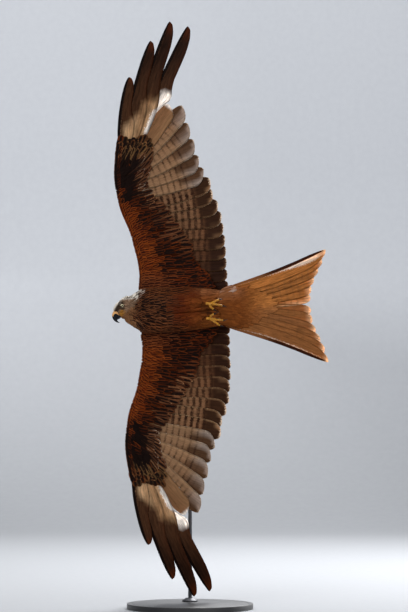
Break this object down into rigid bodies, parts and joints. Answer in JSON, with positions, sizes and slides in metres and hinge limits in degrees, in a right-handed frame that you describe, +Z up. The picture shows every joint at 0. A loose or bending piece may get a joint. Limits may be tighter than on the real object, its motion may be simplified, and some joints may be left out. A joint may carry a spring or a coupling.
{
  "type": "red kite bird model",
  "caption": "Life-size still model of a red kite gliding in a steep bank, wings spread and forked tail fanned, held on a plain display stand.",
  "frame": {"origin": "centre of the underside of the stand's round base", "axes": "+Z up, along the spread wings; the bird's belly faces -Y, its head -X and its tail +X"},
  "size_m": [0.6516, 0.38, 1.7705],
  "materials": {
    "body_feathers": "soft matt rufous feathers with dark shaft streaks",
    "head_feathers": "soft matt pale grey feathers with fine dark streaks",
    "wing_feathers": "satin blackish and rufous vanes with a pale window",
    "tail_feathers": "satin pale rufous vanes with faint bars",
    "yellow_skin": "waxy yellow scales",
    "horn": "smooth dark horn",
    "eye": "wet cornea over a pale yellow iris",
    "stand_board": "satin dark grey paint",
    "stand_metal": "dark satin steel"
  },
  "bodies": {
    "root": {"torso": "body_feathers", "neck": "body_feathers", "head": "head_feathers", "cere": "yellow_skin", "beak_upper": "horn", "beak_lower": "horn", "eye_left": "eye", "eye_right": "eye", "wing_left": "wing_feathers", "wing_right": "wing_feathers", "tail": "tail_feathers", "leg_left": "body_feathers", "leg_right": "body_feathers", "foot_left": "yellow_skin", "foot_right": "yellow_skin", "claw_left_1": "horn", "claw_left_2": "horn", "claw_left_3": "horn", "claw_left_4": "horn", "claw_right_1": "horn", "claw_right_2": "horn", "claw_right_3": "horn", "claw_right_4": "horn", "stand_base": "stand_board", "stand_collar": "stand_metal", "stand_rod": "stand_metal"}
  },
  "joints": []
}
